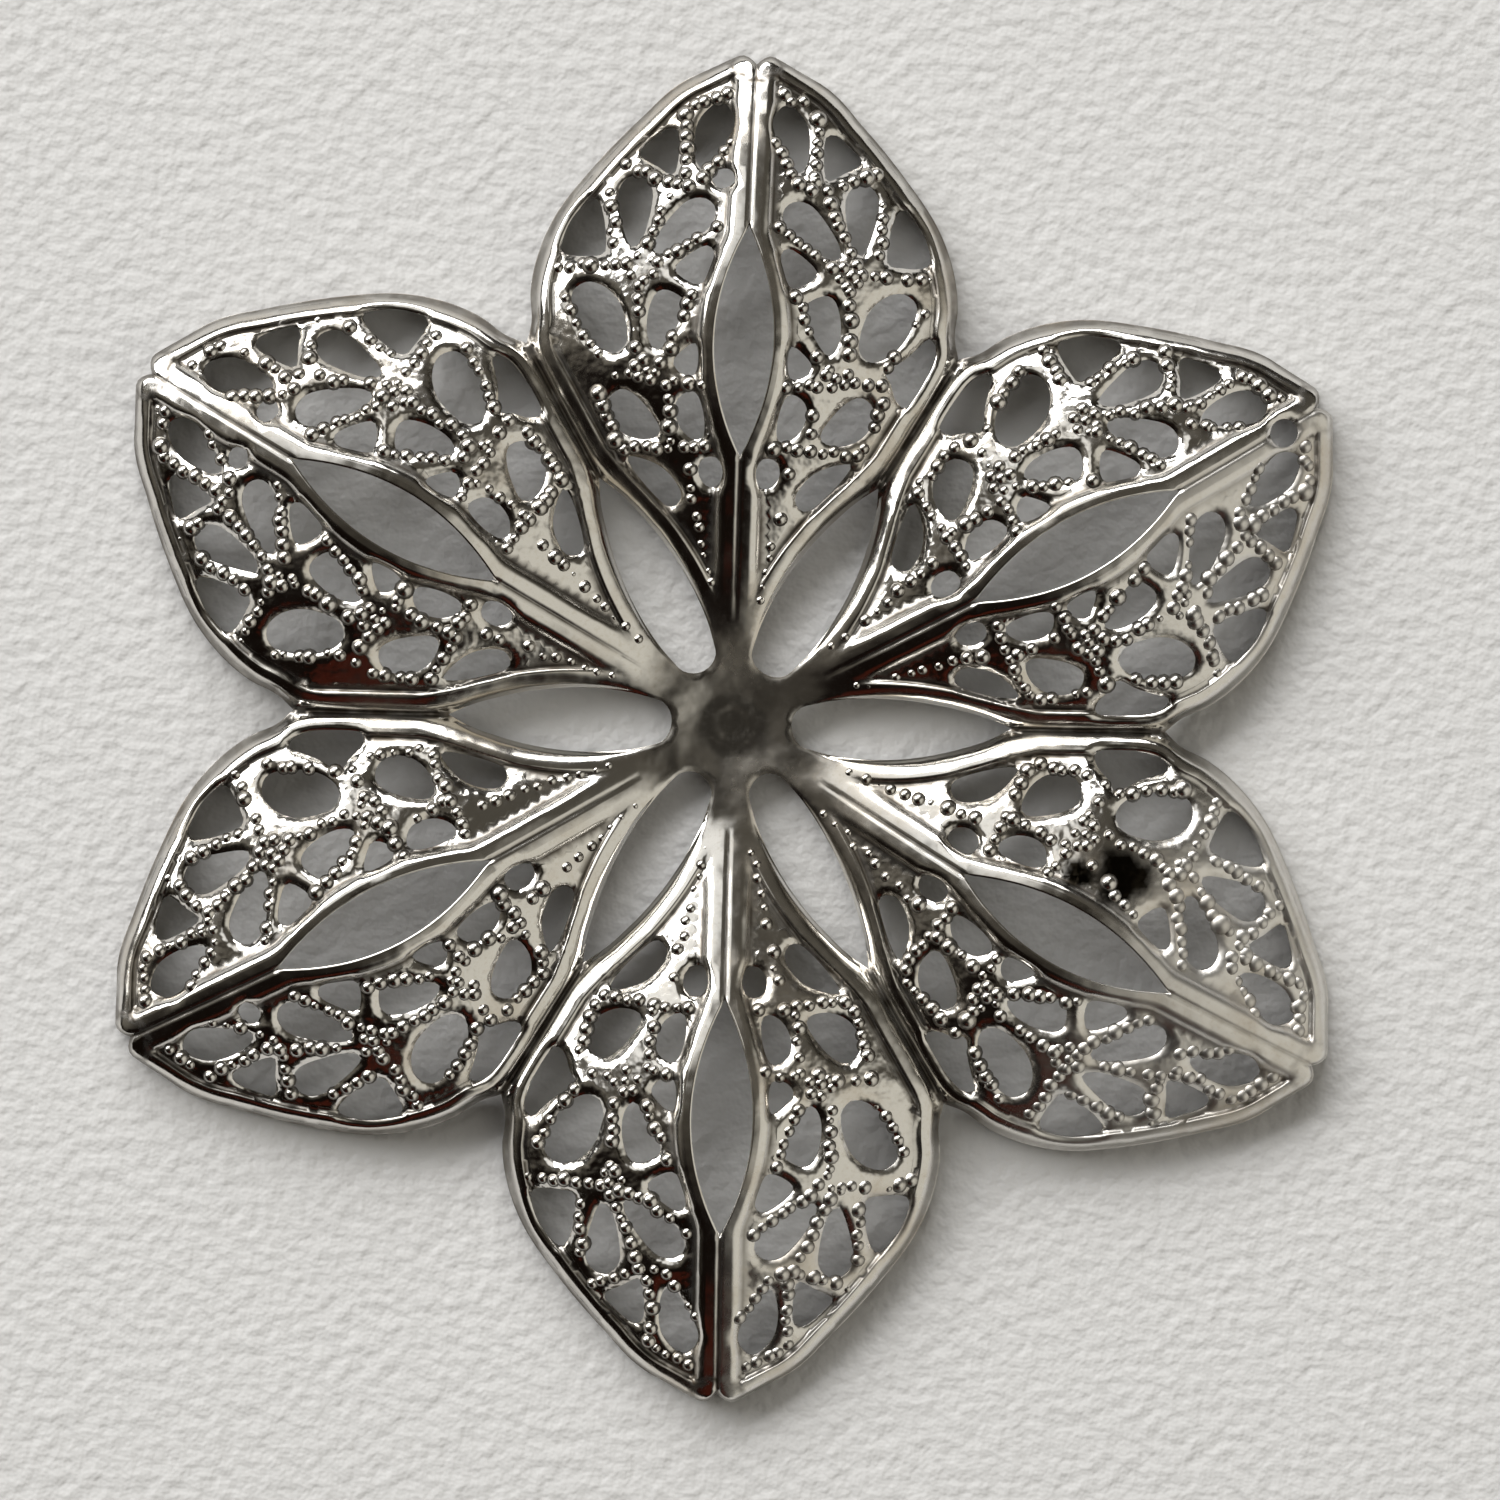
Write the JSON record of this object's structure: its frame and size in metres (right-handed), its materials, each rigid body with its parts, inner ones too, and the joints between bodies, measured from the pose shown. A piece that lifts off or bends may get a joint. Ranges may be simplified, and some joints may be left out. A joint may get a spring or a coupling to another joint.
{
  "type": "openwork flower stamping",
  "caption": "Six-petal openwork flower pressed from thin plated sheet, with a flat hub, pierced arched petals and beaded relief, for jewellery work.",
  "frame": {"origin": "the middle of the flower's outline box, on the plane that the petals' turned-down edges rest on; the hub's centre is 0.085 mm to +X and 0.35 mm to +Y of it", "axes": "+Z away from the resting plane towards the raised face, +Y along the shortest petal's midline"},
  "size_m": [0.054, 0.0598, 0.0046],
  "materials": {
    "plated_metal": "polished"
  },
  "bodies": {
    "root": {"flower": "plated_metal"}
  },
  "joints": []
}
